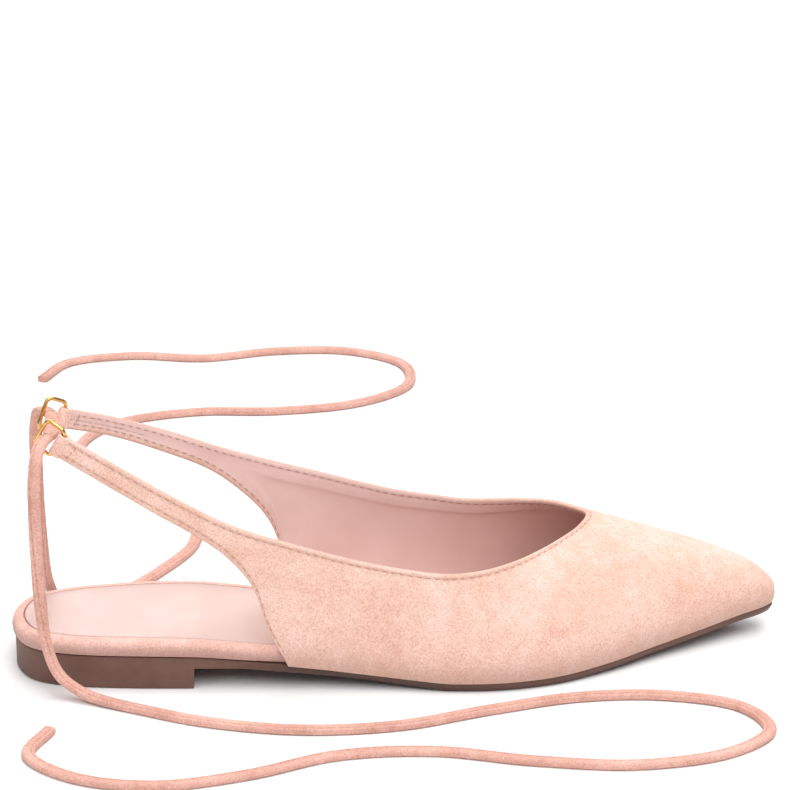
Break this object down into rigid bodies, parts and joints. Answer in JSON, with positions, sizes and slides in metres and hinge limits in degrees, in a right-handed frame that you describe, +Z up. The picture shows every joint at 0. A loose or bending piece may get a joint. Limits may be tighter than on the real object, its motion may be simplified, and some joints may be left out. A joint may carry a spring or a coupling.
{
  "type": "slingback ballet flat",
  "caption": "Pointed suede slingback flat for the right foot on a low brown unit sole, with a hollow upper, open heel, sling straps ending in rings and a long untied ankle tie.",
  "frame": {"origin": "on the floor under the middle of the shoe's box, measured without the two loose tie ends", "axes": "+X along the shoe towards the toe, +Y towards the inner side of the foot, +Z up from the floor"},
  "size_m": [0.2702, 0.414, 0.0946],
  "materials": {
    "sole_rubber": "satin moulded brown",
    "suede": "soft pale pink nap",
    "sock": "smooth semi-gloss",
    "ring_metal": "polished gold tone",
    "tie_suede": "soft nap, stitched edge"
  },
  "bodies": {
    "root": {"outsole": "sole_rubber", "footbed": "suede", "insole": "sock", "upper": "suede", "ring_outer": "ring_metal", "ring_inner": "ring_metal", "tie_bridge": "tie_suede", "tie_outer": "tie_suede", "tie_inner": "tie_suede"}
  },
  "joints": []
}
